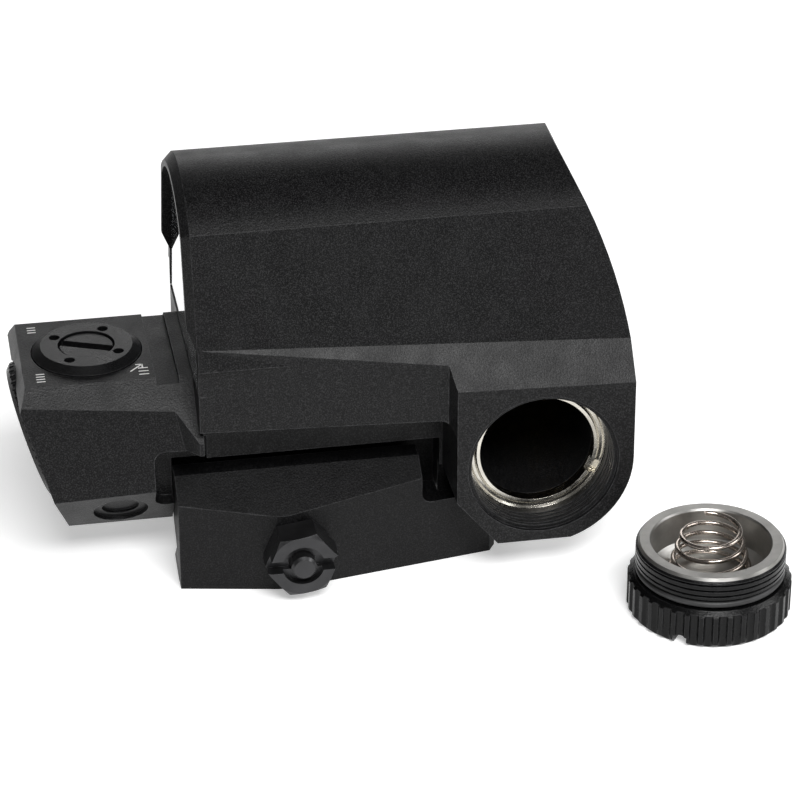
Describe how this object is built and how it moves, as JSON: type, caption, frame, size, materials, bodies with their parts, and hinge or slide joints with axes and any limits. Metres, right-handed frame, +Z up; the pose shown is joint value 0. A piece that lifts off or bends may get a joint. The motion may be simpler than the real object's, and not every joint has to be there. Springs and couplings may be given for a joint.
{
  "type": "red dot sight",
  "caption": "Rail-mounted red dot sight with a large framed window, rear adjuster block, cross-bolt rail clamp and an unscrewed battery cap.",
  "frame": {"origin": "middle of the rail seat, on the rail's top plane and centre line", "axes": "+X forward along the rail, +Y to the shooter's left, +Z up"},
  "size_m": [0.1175, 0.0744, 0.065],
  "materials": {
    "housing_black": "matt black bead-blasted anodising",
    "clamp_black": "matt black anodising, slightly coarser",
    "dial_black": "satin black anodising",
    "dark_steel": "blackened steel",
    "bright_steel": "plain steel wire",
    "bare_aluminium": "bare machined aluminium",
    "coated_glass": "coated optical glass",
    "seal_rubber": "black rubber",
    "board": "solder-masked circuit board",
    "insulator": "fibre insulator",
    "contact_brass": "plated brass",
    "led": "clear red emitter"
  },
  "bodies": {
    "sight": {"main_housing": "housing_black", "bottom_cover": "housing_black", "cover_gasket": "seal_rubber", "cover_screws": "dark_steel", "sealing_plug": "housing_black", "front_lens": "coated_glass", "front_lens_frame": "dial_black", "rear_lens": "coated_glass", "rear_lens_seal": "seal_rubber", "mount_base": "clamp_black", "base_screws": "dark_steel", "clamp_bolt": "dark_steel", "guide_pins": "bright_steel", "jaw_springs": "bright_steel", "elevation_retainer": "dial_black", "elevation_seal": "seal_rubber", "windage_retainer": "dial_black", "windage_seal": "seal_rubber", "stage_posts": "bright_steel", "elevation_spring": "bright_steel", "windage_spring": "bright_steel", "dial_seal": "seal_rubber", "rotary_switch": "board", "control_board": "board", "board_screws": "bright_steel", "battery_ring": "bare_aluminium", "contact_insulator": "insulator", "battery_contact": "contact_brass"},
    "clamp_jaw": {"clamp_jaw": "clamp_black"},
    "clamp_nut": {"clamp_nut": "dark_steel"},
    "elevation_screw": {"elevation_screw": "dial_black"},
    "elevation_stage": {"elevation_stage": "bare_aluminium"},
    "windage_screw": {"windage_screw": "dial_black"},
    "windage_stage": {"windage_stage": "bare_aluminium", "led_emitter": "led"},
    "brightness_dial": {"brightness_dial": "dial_black", "dial_clip": "bright_steel"},
    "battery_cap": {"battery_cap": "dial_black", "cap_seal": "seal_rubber", "cap_contact_cup": "bare_aluminium", "cap_spring": "bright_steel"}
  },
  "joints": [
    {"name": "nut_turn", "type": "hinge", "parent": "clamp_jaw", "child": "clamp_nut", "pos_m": [-0.003, -0.0238, -0.0009], "axis": [0, -1, 0], "range_deg": [-1700, 0]},
    {"name": "jaw_slide", "type": "slide", "parent": "sight", "child": "clamp_jaw", "axis": [0, -1, 0], "range_m": [-0.0033, 0], "deforming": ["jaw_springs"]},
    {"name": "elevation_turn", "type": "hinge", "parent": "sight", "child": "elevation_screw", "pos_m": [-0.03304, 0, 0.02595], "axis": [0, 0, 1], "range_deg": [-290, 290]},
    {"name": "elevation_slide", "type": "slide", "parent": "sight", "child": "elevation_stage", "axis": [0, 0, 1], "range_m": [-0.0004, 0.0004], "deforming": ["elevation_spring"]},
    {"name": "windage_turn", "type": "hinge", "parent": "sight", "child": "windage_screw", "pos_m": [-0.027, 0.0148, 0.0168], "axis": [0, 1, 0], "range_deg": [-290, 290]},
    {"name": "windage_slide", "type": "slide", "parent": "elevation_stage", "child": "windage_stage", "axis": [0, 1, 0], "range_m": [-0.0004, 0.0004], "deforming": ["windage_spring"]},
    {"name": "dial_turn", "type": "hinge", "parent": "sight", "child": "brightness_dial", "pos_m": [-0.04154, 0, 0.0126], "axis": [-0.9582, 0, -0.286], "range_deg": [0, 300]},
    {"name": "cap_lift", "type": "slide", "parent": "sight", "child": "battery_cap", "axis": [0, 0, 1], "range_m": [0, 0.05]}
  ],
  "couplings": [
    {"joint": "nut_turn", "follows": "jaw_slide", "rad_per_m": 8976},
    {"joint": "elevation_turn", "follows": "elevation_slide", "rad_per_m": 12566},
    {"joint": "windage_turn", "follows": "windage_slide", "rad_per_m": 12566}
  ]
}
